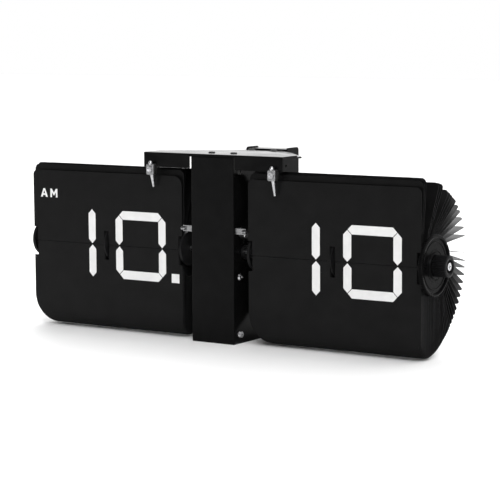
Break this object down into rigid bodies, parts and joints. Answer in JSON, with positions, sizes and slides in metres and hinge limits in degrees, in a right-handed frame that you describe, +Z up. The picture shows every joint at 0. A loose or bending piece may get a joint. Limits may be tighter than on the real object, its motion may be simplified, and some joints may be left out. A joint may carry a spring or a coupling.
{
  "type": "flip number clock",
  "caption": "Flip number clock: a black sheet-steel column with a T-shaped head carries two wide drums of flip cards, hours left and minutes right, with a setting wheel at one end.",
  "frame": {"origin": "centre of the column's footprint on the surface it stands on", "axes": "+X to the viewer's right along the drums, +Y away from the viewer, +Z up"},
  "size_m": [0.3637, 0.0978, 0.141],
  "materials": {
    "sheet_black": "satin black powder coat",
    "screw_black": "black oxide",
    "screw_steel": "bright plated",
    "finger_metal": "satin",
    "pin_metal": "satin",
    "card_black": "satin",
    "print_white": "flat ink",
    "bush_plastic": "moulded",
    "disc_plastic": "moulded",
    "wheel_metal": "turned face",
    "shaft_steel": "ground",
    "gear_brass": "cut",
    "board_green": "lacquered board",
    "cell_wrap": "printed sleeve, plain"
  },
  "bodies": {
    "frame": {"column_cover": "sheet_black", "base_plate": "sheet_black", "back_plate": "sheet_black", "head_plate": "sheet_black", "head_cover": "sheet_black", "side_screws": "screw_steel", "head_screws": "screw_black", "left_finger_block": "finger_metal", "right_finger_block": "finger_metal", "left_finger_pin": "pin_metal", "right_finger_pin": "pin_metal", "finger_clamp_screws": "pin_metal", "hour_cards_upper": "card_black", "hour_cards_rear": "card_black", "hour_cards_lower": "card_black", "minute_cards_upper": "card_black", "minute_cards_rear": "card_black", "minute_cards_lower": "card_black", "hour_front_lower_card": "card_black", "minute_front_lower_card": "card_black", "hour_lower_print": "print_white", "minute_lower_print": "print_white", "hour_drum_bush": "bush_plastic", "minute_drum_bush": "bush_plastic", "centre_plate": "shaft_steel", "plate_posts": "shaft_steel", "motor_case": "bush_plastic", "circuit_board": "board_green", "battery": "cell_wrap", "battery_holder": "bush_plastic", "battery_contacts": "shaft_steel", "battery_spring": "shaft_steel", "click_springs": "finger_metal"},
    "minute_drum": {"minute_shaft": "shaft_steel", "minute_drum_tube": "disc_plastic", "minute_inner_disc": "disc_plastic", "minute_outer_disc": "disc_plastic", "minute_middle_disc": "disc_plastic", "setting_wheel": "wheel_metal", "setting_knob": "bush_plastic", "knob_screw": "screw_steel", "minute_pinion": "gear_brass", "minute_drive_wheel": "gear_brass"},
    "hour_drum": {"hour_shaft": "shaft_steel", "hour_drum_tube": "disc_plastic", "hour_inner_disc": "disc_plastic", "hour_outer_disc": "disc_plastic", "hour_middle_disc": "disc_plastic", "hour_end_cap": "bush_plastic", "hour_wheel": "gear_brass"},
    "idler": {"idler_arbor": "shaft_steel", "idler_wheel": "gear_brass", "idler_pinion": "gear_brass"},
    "motor_rotor": {"motor_shaft": "shaft_steel", "motor_pinion": "gear_brass"},
    "minute_front_card": {"minute_front_upper_card": "card_black", "minute_upper_print": "print_white"},
    "hour_front_card": {"hour_front_upper_card": "card_black", "hour_upper_print": "print_white"},
    "battery_door_body": {"battery_door": "bush_plastic"}
  },
  "joints": [
    {"name": "minute_drum_turn", "type": "hinge", "parent": "frame", "child": "minute_drum", "pos_m": [0, -0.0305, 0.0676], "axis": [1, 0, 0], "continuous": true},
    {"name": "hour_drum_turn", "type": "hinge", "parent": "frame", "child": "hour_drum", "pos_m": [0, -0.0305, 0.0676], "axis": [1, 0, 0], "continuous": true},
    {"name": "idler_turn", "type": "hinge", "parent": "frame", "child": "idler", "pos_m": [0, -0.0305, 0.0796], "axis": [1, 0, 0], "continuous": true},
    {"name": "motor_turn", "type": "hinge", "parent": "frame", "child": "motor_rotor", "pos_m": [0.01, -0.0185, 0.0676], "axis": [1, 0, 0], "continuous": true},
    {"name": "minute_card_fall", "type": "hinge", "parent": "frame", "child": "minute_front_card", "pos_m": [0.10075, -0.042, 0.0675], "axis": [1, 0, 0], "range_deg": [0, 172], "deforming": ["right_finger_pin"]},
    {"name": "hour_card_fall", "type": "hinge", "parent": "frame", "child": "hour_front_card", "pos_m": [-0.10075, -0.042, 0.0675], "axis": [1, 0, 0], "range_deg": [0, 172], "deforming": ["left_finger_pin"]},
    {"name": "battery_door_open", "type": "hinge", "parent": "frame", "child": "battery_door_body", "pos_m": [0, 0.0433, 0.0034], "axis": [-1, 0, 0], "range_deg": [0, 85]}
  ],
  "couplings": [
    {"joint": "idler_turn", "follows": "minute_drum_turn", "ratio": -0.20833},
    {"joint": "hour_drum_turn", "follows": "minute_drum_turn", "ratio": 0.041667},
    {"joint": "motor_turn", "follows": "minute_drum_turn", "ratio": -4}
  ]
}
